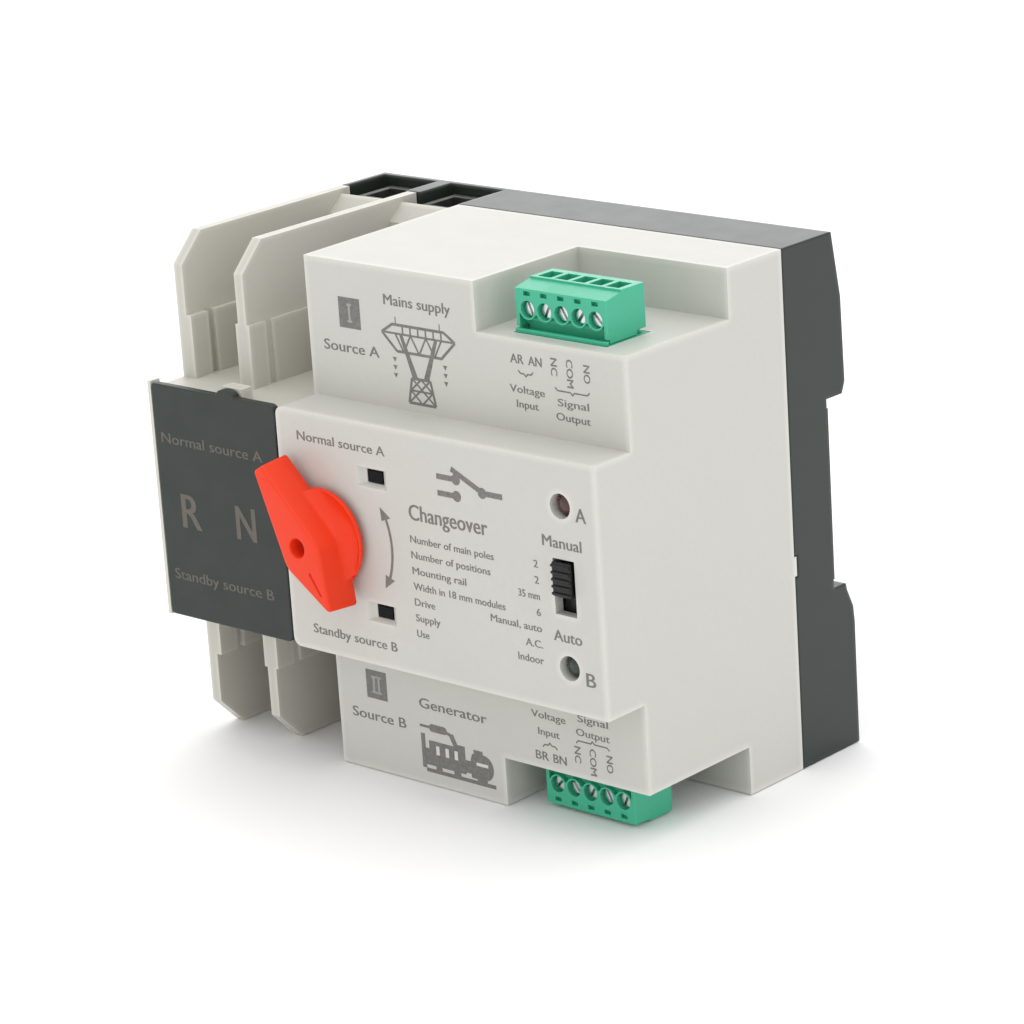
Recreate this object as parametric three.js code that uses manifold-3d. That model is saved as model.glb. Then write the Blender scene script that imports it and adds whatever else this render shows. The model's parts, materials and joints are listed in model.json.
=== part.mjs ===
// DIN-rail transfer switch, six modules wide and two poles, for changing a load from
// source A to source B by hand or by its own solenoids.
//
// Units are millimetres, +Z is up and the front faces -Y. While it is modelled, x runs from
// the left side, y from the front face of the nose towards the rail, and z from mid-height.
// The last lines move the whole group so that its origin is the middle of its underside.

import * as THREE from 'three';
import { mergeVertices } from 'three/addons/utils/BufferGeometryUtils.js';
import Module from 'manifold-3d';

const wasm = await Module();
wasm.setup();

// ---------------------------------------------------------------- driving dimensions

const MODULE_WIDTH = 18;
const WIDTH = 6 * MODULE_WIDTH;
const HEIGHT = 96;
const HALF_H = HEIGHT / 2;
const NOSE_HALF = 22.5;            // the 45 mm nose that shows through a panel cut-out
const BLOCK_FRONT = 9.5;           // main block's face, behind the nose's
const SEAM = 52;                   // where the pale cases meet the dark base
const BACK = 68.6;
const WALL = 2;
const GAP = 0.3;

const POLE_RIGHT = 32.1;           // right side of the pole housing
const POLE_X = { r: 8.8, n: 25.4 };
const BARRIER = 2.2;               // its thickness
const MID_BARRIER = 15.8;          // left side of the barrier between the poles
const BARRIER_FRONT = 9.2;
const LEDGE_TOP = 33;              // top of the thick part of each barrier
const CHAMBER_BACK = 48;

const RAIL_WALL = 63.2;            // the face that sits on the rail
const RAIL_TOP = 18.3;
const RAIL_BOTTOM = -17;
const SEAT_TOP = 16.6;             // shallow grooves part the rail's seat from the recess's corners
const SEAT_BOTTOM = -15.3;

const POCKET_LEFT = 74.6;
const POCKET_FLOOR = 39;
const POCKET_BACK = 36.9;

const KNOB_X = 44.6;
const KNOB_FRONT = -8.3;
const KNOB_REST = -57.5;           // degrees, pointer down to source B
const DISC_R = 9.3;
const DISC_FRONT = -1.9;
const DISC_BACK = -1;
const HUB_R = 5.9;
const PINION_TEETH = 8;
const PITCH_R = 4;
const PINION_FRONT = 17.5;
const PINION_BACK = 25.3;

const TRAVEL = 8;                  // of the contact carriage
const BAR_FRONT = 26;
const BAR_BACK = 29.7;
const BAR_HALF = 3;
const CARRIAGE_Z = -TRAVEL / 2;    // at rest, on source B
const COIL_X = 64;
const COIL_Y = 30;
const PLUNGER_R = 3.5;

const BOARD_FRONT = 24.6;
const PLUG_X = 90.75;
const PLUG_PITCH = 3.81;
const PLUG_FRONT = 13.5;
const PLUG_BACK = 23.4;
const PLUG_HALF = 10.2;
const PLUG_BASE = 40;
const PLUG_TOP = 47.8;
const PLUG_SCREW_Z = { 1: 43.1, [-1]: 43.5 };   // by side: the lower plug's face reaches lower
const PLUG_FACE_TOP = { 1: 46.7, [-1]: 47.3 };
const PLUG_RIM_R = 1.85;
const POSITIONS = [-2, -1, 0, 1, 2];

const LED_X = 100;
const LED_Z = 14.4;
const WINDOW_X = 56.15;
const WINDOW_Z = 12.5;
const CLAMP_Z = 29;
const LOAD_Z = 40.2;
const CASE_SCREWS = [[39, 42], [101, 42], [39, -42], [101, -42]];
const BOSS_R = 4.6;

// ---------------------------------------------------------------- solids and meshes

function solid(geometry) {
  geometry.deleteAttribute('normal');
  geometry.deleteAttribute('uv');
  const merged = mergeVertices(geometry, 1e-4);
  return new wasm.Manifold(new wasm.Mesh({
    numProp: 3,
    vertProperties: new Float32Array(merged.attributes.position.array),
    triVerts: new Uint32Array(merged.index.array),
  }));
}

// A box between two corners, given in any order along each axis.
function box(x0, x1, y0, y1, z0, z1) {
  const geometry = new THREE.BoxGeometry(Math.abs(x1 - x0), Math.abs(y1 - y0), Math.abs(z1 - z0));
  geometry.translate((x0 + x1) / 2, (y0 + y1) / 2, (z0 + z1) / 2);
  return solid(geometry);
}

function rodY(radius, x, z, y0, y1, sides = 32) {
  const geometry = new THREE.CylinderGeometry(radius, radius, y1 - y0, sides);
  geometry.translate(x, (y0 + y1) / 2, z);
  return solid(geometry);
}

function rodZ(radius, x, y, z0, z1, sides = 32) {
  const geometry = new THREE.CylinderGeometry(radius, radius, z1 - z0, sides);
  geometry.rotateX(Math.PI / 2);
  geometry.translate(x, y, (z0 + z1) / 2);
  return solid(geometry);
}

function extrude(outline, depth) {
  const shape = new THREE.Shape(outline.map(([a, b]) => new THREE.Vector2(a, b)));
  return new THREE.ExtrudeGeometry(shape, { depth, bevelEnabled: false });
}

// A prism along x whose outline is given as [y, z].
function prismX(outline, x0, x1) {
  const geometry = extrude(outline, x1 - x0);
  const turn = new THREE.Matrix4().makeBasis(
    new THREE.Vector3(0, 1, 0), new THREE.Vector3(0, 0, 1), new THREE.Vector3(1, 0, 0));
  geometry.applyMatrix4(turn);
  geometry.translate(x0, 0, 0);
  return solid(geometry);
}

// A prism along y whose outline is given as [x, z].
function prismY(outline, y0, y1) {
  const geometry = extrude(outline, y1 - y0);
  geometry.rotateX(Math.PI / 2);
  geometry.translate(0, y1, 0);
  return solid(geometry);
}

// A prism along z whose outline is given as [x, y].
function prismZ(outline, z0, z1) {
  const geometry = extrude(outline, z1 - z0);
  geometry.translate(0, 0, z0);
  return solid(geometry);
}

// A solid between two outlines of [x, z] points, anticlockwise from the front, at y0 and y1.
function loftY(front, y0, back, y1) {
  const count = front.length;
  const ring = (outline, y) => outline.flatMap(([x, z]) => [x, y, z]);
  const flat = front.map(([a, b]) => new THREE.Vector2(a, b));
  const cap = THREE.ShapeUtils.triangulateShape(flat, []);
  const index = cap.flat().concat(cap.flatMap(([a, b, c]) => [a + count, c + count, b + count]));
  for (let i = 0; i < count; i += 1) {
    const j = (i + 1) % count;
    index.push(i, i + count, j, j, i + count, j + count);
  }
  const geometry = new THREE.BufferGeometry();
  const points = ring(front, y0).concat(ring(back, y1));
  geometry.setAttribute('position', new THREE.Float32BufferAttribute(points, 3));
  geometry.setIndex(index);
  return solid(geometry);
}

const rectangle = (x, z, halfX, halfZ) => [
  [x - halfX, z - halfZ], [x + halfX, z - halfZ], [x + halfX, z + halfZ], [x - halfX, z + halfZ],
];

// A rectangle as [x, z] points whose left corners have a radius, and its right ones another.
function roundedRectangle(x0, x1, z0, z1, leftR, rightR) {
  const corners = [[x1, z0, rightR], [x1, z1, rightR], [x0, z1, leftR], [x0, z0, leftR]];
  return corners.flatMap(([x, z, radius], quarter) => {
    const middleX = x + (x === x0 ? radius : -radius);
    const middleZ = z + (z === z0 ? radius : -radius);
    const steps = radius > 0 ? 5 : 0;
    return Array.from({ length: steps + 1 }, (_, i) => {
      const turn = Math.PI / 2 * (quarter - 1 + (steps > 0 ? i / steps : 0));
      return [middleX + radius * Math.cos(turn), middleZ + radius * Math.sin(turn)];
    });
  });
}

const joined = (parts) => parts.reduce((whole, part) => whole.add(part));
const cut = (whole, parts) => parts.reduce((rest, part) => rest.subtract(part), whole);

const MATERIALS = {
  ivory: { color: 0xe6e6e0, roughness: 0.5, metalness: 0 },
  dark: { color: 0x50564f, roughness: 0.55, metalness: 0 },
  plate: { color: 0x4c534f, roughness: 0.5, metalness: 0 },
  orange: { color: 0xf04a2c, roughness: 0.45, metalness: 0 },
  green: { color: 0x4ebb98, roughness: 0.4, metalness: 0 },
  black: { color: 0x1c1d1e, roughness: 0.45, metalness: 0 },
  smoked: { color: 0x0c0c0d, roughness: 0.15, metalness: 0 },
  steel: { color: 0xc4c6c8, roughness: 0.3, metalness: 1 },
  copper: { color: 0xb87347, roughness: 0.35, metalness: 1 },
  winding: { color: 0x8c3a1c, roughness: 0.4, metalness: 0.3 },
  board: { color: 0x1f6b3c, roughness: 0.5, metalness: 0 },
  relay: { color: 0x2a4f86, roughness: 0.4, metalness: 0 },
  ledRed: { color: 0x7c1d18, roughness: 0.2, metalness: 0 },
  ledGreen: { color: 0x21452c, roughness: 0.2, metalness: 0 },
};

const assembly = new THREE.Group();

function place(name, material, manifold) {
  const { numProp, vertProperties, triVerts } = manifold.getMesh();
  const geometry = new THREE.BufferGeometry();
  const positions = new Float32Array(vertProperties.length / numProp * 3);
  for (let i = 0; i < positions.length / 3; i += 1) {
    positions.set(vertProperties.subarray(i * numProp, i * numProp + 3), i * 3);
  }
  geometry.setAttribute('position', new THREE.BufferAttribute(positions, 3));
  geometry.setIndex(new THREE.BufferAttribute(new Uint32Array(triVerts), 1));
  geometry.computeVertexNormals();
  const mesh = new THREE.Mesh(geometry, new THREE.MeshStandardMaterial(MATERIALS[material]));
  mesh.name = name;
  assembly.add(mesh);
  return mesh;
}

// ---------------------------------------------------------------- dark rear base

// Profile of the base as [y, z]: a leaning upper back, the rail's recess and its lower jaw.
const BASE_PROFILE = [
  [SEAM, -HALF_H], [BACK, -HALF_H], [BACK, -24.7], [68.3, -21.8], [66.7, -18.3],
  [66.4, RAIL_BOTTOM], [RAIL_WALL, RAIL_BOTTOM], [RAIL_WALL, RAIL_TOP], [67.4, RAIL_TOP],
  [68.3, 20.4], [68, 35.9], [66, HALF_H], [SEAM, HALF_H],
];
const CATCH_Z = -9.8;              // a lug of the housing that snaps over the base's edge
const BASE_CAVITY_BACK = 61.2;
const WELLS = [[1.2, 15.1], [18.6, POLE_RIGHT]];
const WELL_BACK = 64.6;
const WELL_FLOOR = 24.5;
const CLIP = { left: 45, right: 69, front: 64.2, back: 66.6, top: -15.6, bottom: -47.7 };
const TONGUE_BOTTOM = 44.5;         // of each barrier, over the base's walls
const TONGUES = [[0, 53.9], [MID_BARRIER, 55.7]];   // each one's left side and back end

function base() {
  const bosses = CASE_SCREWS.map(([x, z]) => rodY(BOSS_R, x, z, SEAM, BASE_CAVITY_BACK + 1, 24));
  const shell = cut(prismX(BASE_PROFILE, 0, WIDTH), [
    box(34, WIDTH - WALL, SEAM - 1, BASE_CAVITY_BACK, -HALF_H + WALL, HALF_H - WALL),
    box(WALL, 35, SEAM - 1, BASE_CAVITY_BACK, -HALF_H + WALL, WELL_FLOOR - WALL),
  ]);
  const hooks = [33, 66].map((x) => box(x, x + 9, 64.7, 66.9, RAIL_TOP - 1.4, RAIL_TOP + 1));
  const corners = [[SEAT_TOP, RAIL_TOP], [RAIL_BOTTOM, SEAT_BOTTOM]].map(([low, high]) => box(
    -1, WIDTH + 1, RAIL_WALL - GAP, RAIL_WALL + 1, low, high));
  const wells = WELLS.map(([x0, x1]) => box(x0, x1, SEAM - 1, WELL_BACK, WELL_FLOOR, HALF_H + 1));
  const strips = Object.values(POLE_X).map((x) => box(x - 3.8, x + 3.8, 56.1, 58.2, 18, WELL_FLOOR + 0.5));
  const screwHoles = CASE_SCREWS.flatMap(([x, z]) => [
    rodY(1.65, x, z, SEAM - 1, BACK, 16),
    rodY(3.2, x, z, 64.4, BACK + 1, 24),
  ]);
  const clipWay = [
    box(CLIP.left - GAP, CLIP.right + GAP, 63.9, 66.9, -HALF_H - 1, RAIL_BOTTOM + 1),
    box(CLIP.left + 2.7, CLIP.right - 2.7, 63.9, BACK + 1, -HALF_H - 1, RAIL_BOTTOM + 1),
  ];
  const tongueWays = TONGUES.map(([x, back]) => box(
    x - 1, x + BARRIER + 1, SEAM - 1, back + GAP, TONGUE_BOTTOM - GAP, HALF_H + 1));
  const catchWay = box(WIDTH - 1.1, WIDTH + 1, SEAM - 1, SEAM + 0.8, CATCH_Z - 2.1, CATCH_Z + 2.1);
  return cut(joined([shell, ...bosses, ...hooks]),
    [...corners, ...wells, ...strips, ...screwHoles, ...clipWay, ...tongueWays, catchWay]);
}

function railClip() {
  const slide = box(CLIP.left, CLIP.right, CLIP.front, CLIP.back, CLIP.bottom, CLIP.top);
  const grip = box(CLIP.left + 3, CLIP.right - 3, CLIP.front, BACK - 0.4, CLIP.bottom, -24);
  const leadIn = prismX([[65.2, CLIP.top + 0.1], [66.7, CLIP.top + 0.1], [66.7, CLIP.top - 1.4]],
    CLIP.left - 1, CLIP.right + 1);
  const toolSlot = box(53, 61, CLIP.front - 1, BACK, -45.4, -42.6);
  const relief = [48.5, 62.5].map((x) => box(x, x + 3, CLIP.front - 1, BACK, -39, -26));
  return cut(slide.add(grip), [leadIn, toolSlot, ...relief]);
}

// ---------------------------------------------------------------- pale main housing

const HOUSING_BACK = SEAM - 0.15;
const NOSE_LEFT = 33.3;
const SLOT_HALF = 5;
const HEADER = { left: 80.5, right: 101, front: 13, back: 24, bottom: 29, rim: 39.7 };
const CARRIAGE_WAY = [BAR_FRONT - 0.4, BAR_BACK + 0.4, -7.6, 7.6];
const LENS = [1.85, 1.1];          // half of a window lens's width and height

// A window's opening: bevelled sides, widest across, down to a straight mouth round the lens.
function windowCut(side) {
  const outline = (acrossBy, upBy) => rectangle(
    WINDOW_X, side * WINDOW_Z, LENS[0] + acrossBy, LENS[1] + upBy);
  return loftY(outline(2, 0.8), -0.2, outline(0.15, 0.15), 1.1).add(prismY(outline(0.15, 0.15), 1, 3));
}

function housing() {
  const leftFront = 33.9;
  const leftBack = 32.4;
  const block = prismZ([
    [leftFront, BLOCK_FRONT], [WIDTH, BLOCK_FRONT], [WIDTH, HOUSING_BACK], [leftBack, HOUSING_BACK],
  ], -HALF_H, HALF_H);
  const nose = prismY(roundedRectangle(NOSE_LEFT, WIDTH, -NOSE_HALF, NOSE_HALF, 1.6, 0),
    0, BLOCK_FRONT + 1);
  const pockets = [1, -1].map((side) => box(
    POCKET_LEFT, WIDTH + 1, BLOCK_FRONT - 1, POCKET_BACK, side * POCKET_FLOOR, side * (HALF_H + 1)));
  const pocketWalls = [1, -1].map((side) => box(
    POCKET_LEFT - WALL, WIDTH + 1, BLOCK_FRONT - 1, POCKET_BACK + WALL,
    side * (POCKET_FLOOR - WALL), side * (HALF_H + 1)));
  const hollow = joined([
    box(36, WIDTH - WALL, BLOCK_FRONT + WALL, SEAM + 1, -HALF_H + WALL, HALF_H - WALL),
    box(NOSE_LEFT + WALL, WIDTH - WALL, WALL, BLOCK_FRONT + WALL + 1,
      -NOSE_HALF + WALL, NOSE_HALF - WALL),
  ]);
  const bosses = CASE_SCREWS.map(([x, z]) => rodY(BOSS_R, x, z, POCKET_BACK + 1, HOUSING_BACK, 24));
  const shell = cut(block.add(nose), [...pockets, cut(hollow, pocketWalls)]);
  const [wayFront, wayBack, wayLow, wayHigh] = CARRIAGE_WAY;
  const openings = [
    rodY(HUB_R + GAP, KNOB_X, 0, -1, WALL + 1, 48),
    rodY(2.25, LED_X, LED_Z, -1, WALL + 1, 24),
    rodY(2.25, LED_X, -LED_Z, -1, WALL + 1, 24),
    box(LED_X - 2.4, LED_X + 2.4, -1, WALL + 1, -SLOT_HALF, SLOT_HALF),
    windowCut(1),
    windowCut(-1),
    box(31, 37, wayFront, wayBack, wayLow, wayHigh),
    ...[1, -1].map((side) => box(HEADER.left - GAP, HEADER.right + GAP, HEADER.front - GAP,
      HEADER.back + GAP, side * (POCKET_FLOOR - WALL - 1), side * (POCKET_FLOOR + 1))),
    ...CASE_SCREWS.map(([x, z]) => rodY(1.65, x, z, 43, SEAM, 16)),
  ];
  const lug = box(WIDTH - 0.8, WIDTH, HOUSING_BACK - 2, SEAM + 0.5, CATCH_Z - 1.8, CATCH_Z + 1.8);
  return cut(joined([shell, ...bosses, lug]), openings);
}

// One strip behind both windows, with a raised lens that nearly fills each.
function windowPane() {
  const strip = box(WINDOW_X - 3.6, WINDOW_X + 3.6, WALL + 0.2, WALL + 1.2, -15, 15);
  const lenses = [1, -1].map((side) => prismY(
    rectangle(WINDOW_X, side * WINDOW_Z, ...LENS), 0.95, WALL + 0.3));
  return joined([strip, ...lenses]);
}

// ---------------------------------------------------------------- pole housing and barriers

const SHELF = 21.1;                // top of the pole housing's body, just below the plate's edge
const CAVITY_TOP = SHELF - 1.6;
const PLATE_RIM = 0.75;            // of the case, along the left edge of the label plate
const STRIP_FRONT = 35;            // source strips, where they pass the chamber floors
const STRIP = 1.5;
const STRIP_HALF = 3.5;

// A barrier's outline as [y, z], its front corner cut off at 45 degrees.
const barrierOutline = (side) => [
  [BARRIER_FRONT, side * 20], [BARRIER_FRONT, side * 42.5], [14.6, side * HALF_H],
  [HOUSING_BACK, side * HALF_H], [HOUSING_BACK, side * 20],
];

const backWallOutline = (side) => [
  [CHAMBER_BACK, side * 20], [CHAMBER_BACK, side * 44], [51.5, side * 47],
  [HOUSING_BACK, side * 47], [HOUSING_BACK, side * 20],
];

// The thick lower part of a barrier, parted by an upright groove.
function thickPart(x0, x1, side) {
  const low = side * 20;
  const high = side * LEDGE_TOP;
  return box(x0, x1, BARRIER_FRONT, 13.5, low, high).add(box(x0, x1, 15.2, CHAMBER_BACK + 1, low, high));
}

function poleEnd(side) {
  return joined([
    prismX(barrierOutline(side), 0, BARRIER),
    prismX(barrierOutline(side), MID_BARRIER, MID_BARRIER + BARRIER),
    prismX(backWallOutline(side), 0, POLE_RIGHT),
    thickPart(1, 3.4, side),
    thickPart(15.1, 18.6, side),
    box(31, POLE_RIGHT, 15.2, CHAMBER_BACK + 1, side * 20, side * LEDGE_TOP),
  ]);
}

function poleHousing() {
  const body = box(0, POLE_RIGHT, 1.8, HOUSING_BACK, -SHELF, SHELF);
  const rim = box(0, PLATE_RIM, 0.1, 2.5, -NOSE_HALF, NOSE_HALF);
  const tongues = TONGUES.map(([x, back]) => box(
    x, x + BARRIER, CHAMBER_BACK, back, TONGUE_BOTTOM, HALF_H));
  const catchBlock = box(17.9, 23, 1.8, 4.6, SHELF - 1, NOSE_HALF + 1);
  const [wayFront, wayBack, wayLow, wayHigh] = CARRIAGE_WAY;
  const openings = [
    box(WALL, MID_BARRIER, 3.8, SEAM + 1, -CAVITY_TOP, CAVITY_TOP),
    box(MID_BARRIER + BARRIER, POLE_RIGHT - WALL, 3.8, SEAM + 1, -CAVITY_TOP, CAVITY_TOP),
    box(10, POLE_RIGHT + 1, wayFront, wayBack, wayLow, wayHigh),
  ];
  for (const x of Object.values(POLE_X)) {
    openings.push(rodY(3.3, x, LOAD_Z, CHAMBER_BACK - 1, SEAM + 1, 24));
    for (const side of [1, -1]) {
      openings.push(box(x - 3.8, x + 3.8, STRIP_FRONT - GAP, STRIP_FRONT + STRIP + GAP,
        side * (CAVITY_TOP - 1), side * (NOSE_HALF + 1)));
    }
  }
  return cut(joined([body, rim, catchBlock, ...tongues, poleEnd(1), poleEnd(-1)]), openings);
}

function labelPlate() {
  const tab = { x: 20.4, half: 2.4, height: 1.25, steps: 8 };
  const top = NOSE_HALF - 0.2;
  const arc = [];
  for (let i = 0; i <= tab.steps; i += 1) {
    const turn = Math.PI * i / tab.steps;
    arc.push([tab.x + tab.half * Math.cos(turn), top + tab.height * Math.sin(turn)]);
  }
  const root = [[tab.x - tab.half, top - 1], [tab.x + tab.half, top - 1]];
  const plate = roundedRectangle(PLATE_RIM + 0.15, NOSE_LEFT - 0.4, -top, top, 0.8, 1.4);
  return prismY(plate, 0, 1.6).add(prismY([...root, ...arc], 0, 1.6));
}

// ---------------------------------------------------------------- terminals and contacts

// A wire clamp: a cage that is open upwards and downwards, with a screw hole in its front.
function cage(x, y, z, half, depth, wall) {
  const whole = box(x - half, x + half, y, y + depth, z - 6, z + 6);
  const way = box(x - half + 1.4, x + half - 1.4, y + wall, y + depth - 1.8, z - 7, z + 7);
  return cut(whole, [way, rodY(2.35, x, z, y - 1, y + wall + 1, 20)]);
}

function terminalScrew(x, z, headFront, headR, length) {
  const head = rodY(headR, x, z, headFront, headFront + 2.8, 28);
  const shank = rodY(2.1, x, z, headFront + 2.7, headFront + length, 20);
  const slots = [
    box(x - headR - 1, x + headR + 1, headFront - 1, headFront + 1.2, z - 0.5, z + 0.5),
    box(x - 0.5, x + 0.5, headFront - 1, headFront + 1.2, z - 1.9, z + 1.9),
  ];
  return cut(head.add(shank), slots);
}

// The strip from a source clamp through the chamber floor to the fixed contact's foot.
function sourceStrip(x, side) {
  const foot = TRAVEL / 2 + 5 + GAP;
  return joined([
    box(x - STRIP_HALF, x + STRIP_HALF, STRIP_FRONT, STRIP_FRONT + STRIP, side * foot, side * 34),
    box(x - STRIP_HALF, x + STRIP_HALF, BAR_BACK, STRIP_FRONT + 1, side * foot, side * (foot + STRIP)),
  ]);
}

// The load strip: a pad that the moving contact slides on, a run backwards, and a riser.
function loadStrip(x) {
  const padFront = 33.3;
  const riser = 56.4;
  return joined([
    box(x - STRIP_HALF, x + STRIP_HALF, padFront, padFront + STRIP, -7, 7),
    box(x - STRIP_HALF, x + STRIP_HALF, padFront + 1, riser + 1, -STRIP / 2, STRIP / 2),
    box(x - STRIP_HALF, x + STRIP_HALF, riser, riser + STRIP, -STRIP / 2, LOAD_Z + 5),
  ]);
}

function movingContact(x) {
  const bar = box(x - STRIP_HALF, x + STRIP_HALF, 30, 33, CARRIAGE_Z - 5, CARRIAGE_Z + 5);
  return bar.subtract(rodY(1.4, x, CARRIAGE_Z, 29, 34, 16));
}

function addPole(pole) {
  const x = POLE_X[pole];
  for (const [source, side] of [['a', 1], ['b', -1]]) {
    place(`clamp_${source}_${pole}`, 'steel', cage(x, 30.3, side * CLAMP_Z, 5.3, 12.6, 2.6));
    place(`clamp_screw_${source}_${pole}`, 'steel', terminalScrew(x, side * CLAMP_Z, 26.8, 3.4, 7.8));
    place(`fixed_contact_${source}_${pole}`, 'copper', sourceStrip(x, side));
  }
  place(`clamp_load_${pole}`, 'steel', cage(x, 52.9, LOAD_Z, 5.2, 11.2, 2.2));
  place(`clamp_screw_load_${pole}`, 'steel', terminalScrew(x, LOAD_Z, 49.2, 2.9, 6.9));
  place(`load_contact_${pole}`, 'copper', loadStrip(x));
  place(`moving_contact_${pole}`, 'copper', movingContact(x));
}

// ---------------------------------------------------------------- knob and drive

const HUB_BACK = 6;
const GRIP_DRAFT = 0.4;
const SQUARE = 2.5;                // half of the shaft's square end

// The grip's outline as [along, across], a kite with rounded shoulders, grown by its draft.
function gripOutline(grow) {
  const tip = 12.35;
  const tail = -15.6;
  const shoulder = 4.6 + grow;
  const upper = [
    [tip + grow, 0.4 + grow / 2], [3.4, shoulder - 0.35], [2.4, shoulder], [1.2, shoulder],
    [0.2, shoulder - 0.2], [tail - grow, 1.2 + grow],
  ];
  const lower = upper.map(([u, v]) => [u, -v]);
  return lower.reverse().concat(upper);
}

// Anticlockwise from the front, by the pointer's rest angle, about the knob's axis.
function turnedKnob(manifold) {
  return manifold.rotate([0, -KNOB_REST, 0]).translate([KNOB_X, 0, 0]);
}

function knob() {
  const grip = loftY(gripOutline(0), KNOB_FRONT, gripOutline(GRIP_DRAFT), DISC_FRONT + 0.2);
  const disc = rodY(DISC_R, 0, 0, DISC_FRONT, DISC_BACK, 64);
  const hub = rodY(HUB_R, 0, 0, DISC_BACK - 0.1, HUB_BACK, 40);
  return turnedKnob(cut(joined([grip, disc, hub]), [
    rodY(1.8, 0, 0, KNOB_FRONT - 1, -3, 24),
    rodY(1.25, 0, 0, -4, 0, 20),
    box(-SQUARE - GAP, SQUARE + GAP, -1, HUB_BACK + 1, -SQUARE - GAP, SQUARE + GAP),
    box(5.1, 9.5, KNOB_FRONT - 1, KNOB_FRONT + 0.35, -0.26, 0.26),
  ]));
}

function knobScrew() {
  const head = rodY(1.55, 0, 0, -4.6, -3.2, 20);
  const shank = rodY(0.95, 0, 0, -3.3, 4, 16);
  const slot = box(-2, 2, -5, -4, -0.25, 0.25);
  return turnedKnob(head.add(shank).subtract(slot));
}

// Pinion teeth as [x, z], the first one pointing to the right when the knob is at rest.
function pinionOutline() {
  const root = 2.75;
  const tip = 4.85;
  const outline = [];
  for (let tooth = 0; tooth < PINION_TEETH; tooth += 1) {
    const middle = 2 * Math.PI * tooth / PINION_TEETH;
    for (const [radius, offset] of [[root, -0.24], [PITCH_R, -0.155], [tip, -0.06],
      [tip, 0.06], [PITCH_R, 0.155], [root, 0.24]]) {
      outline.push([radius * Math.cos(middle + offset), radius * Math.sin(middle + offset)]);
    }
  }
  return outline;
}

function driveShaft() {
  const square = box(-SQUARE, SQUARE, -0.7, 6.4, -SQUARE, SQUARE);
  const screwHole = rodY(1.2, 0, 0, -1, 5, 16);
  const front = turnedKnob(square.subtract(screwHole));
  const journal = rodY(3, KNOB_X, 0, 6.2, PINION_FRONT + 1, 32);
  const collar = rodY(4.4, KNOB_X, 0, 9.7, 10.9, 32);
  const pinion = prismY(pinionOutline(), PINION_FRONT, PINION_BACK).translate([KNOB_X, 0, 0]);
  return joined([front, journal, collar, pinion]);
}

function bearingPlate() {
  const plate = box(37, 54, 6.4, 9.4, -20.2, 20.2);
  return plate.subtract(rodY(3.1, KNOB_X, 0, 5, 11, 32));
}

// Rack teeth as [x, z], pointing left at the pinion, with a gap level with its axis.
function rackOutline(bottom, top) {
  const pitch = 2 * Math.PI * PITCH_R / PINION_TEETH;
  const line = KNOB_X + PITCH_R;
  const outline = [[line + 4, top], [line + 1.35, top]];
  const highest = Math.floor(top / pitch) - 0.5;
  const lowest = Math.ceil(bottom / pitch) + 0.5;
  for (let middle = highest; middle >= lowest; middle -= 1) {
    const z = middle * pitch;
    outline.push([line + 1.35, z + 0.95], [line - 0.8, z + 0.28]);
    outline.push([line - 0.8, z - 0.28], [line + 1.35, z - 0.95]);
  }
  outline.push([line + 1.35, bottom], [line + 4, bottom]);
  return outline;
}

function contactCarriage() {
  const low = CARRIAGE_Z - BAR_HALF;
  const high = CARRIAGE_Z + BAR_HALF;
  const studs = Object.values(POLE_X).map((x) => rodY(1.15, x, CARRIAGE_Z, BAR_BACK - 1, 32.4, 16));
  const ring = box(COIL_X - 6, COIL_X + 6, COIL_Y - 5.5, COIL_Y + 5.5, low, high);
  return joined([
    box(4.6, COIL_X - 5, BAR_FRONT, BAR_BACK, low, high),
    prismY(rackOutline(-14.5, 7.5), PINION_FRONT + 0.3, BAR_FRONT + 0.5),
    ring.subtract(rodZ(PLUNGER_R + 0.2, COIL_X, COIL_Y, low - 1, high + 1, 28)),
    ...studs,
  ]);
}

function plunger() {
  const half = 20;
  const rod = rodZ(PLUNGER_R, COIL_X, COIL_Y, CARRIAGE_Z - half, CARRIAGE_Z + half, 28);
  return rod;
}

// A bobbin with its winding, as one turned ring.
function coil(side) {
  const inner = PLUNGER_R + 0.6;
  const length = 26.4;
  const flange = 9.6;
  const winding = 8.7;
  const profile = [
    [inner, 0], [flange, 0], [flange, 1.2], [winding, 1.2], [winding, length - 1.2],
    [flange, length - 1.2], [flange, length], [inner, length], [inner, 0],
  ].map(([r, h]) => new THREE.Vector2(r, h));
  const geometry = new THREE.LatheGeometry(profile, 32);
  geometry.rotateX(Math.PI / 2);
  geometry.translate(COIL_X, COIL_Y, side > 0 ? 7.7 : -7.7 - length);
  return solid(geometry);
}

function yoke() {
  const half = 9;
  const back = box(COIL_X - half, COIL_X + half, 40, 41.6, -36.2, 36.2);
  const flanges = [1, -1].map((side) => box(
    COIL_X - half, COIL_X + half, 20.5, 41, side * 34.4, side * 36.2));
  const holes = rodZ(PLUNGER_R + 0.8, COIL_X, COIL_Y, -40, 40, 28);
  return joined([back, ...flanges]).subtract(holes);
}

// ---------------------------------------------------------------- controls on the board

function board() {
  return box(77, 105.5, BOARD_FRONT, BOARD_FRONT + 1.6, -36.4, 36.4);
}

function relay() {
  return box(80, 93, 11.5, BOARD_FRONT - GAP, -8.5, 8.5);
}

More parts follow.
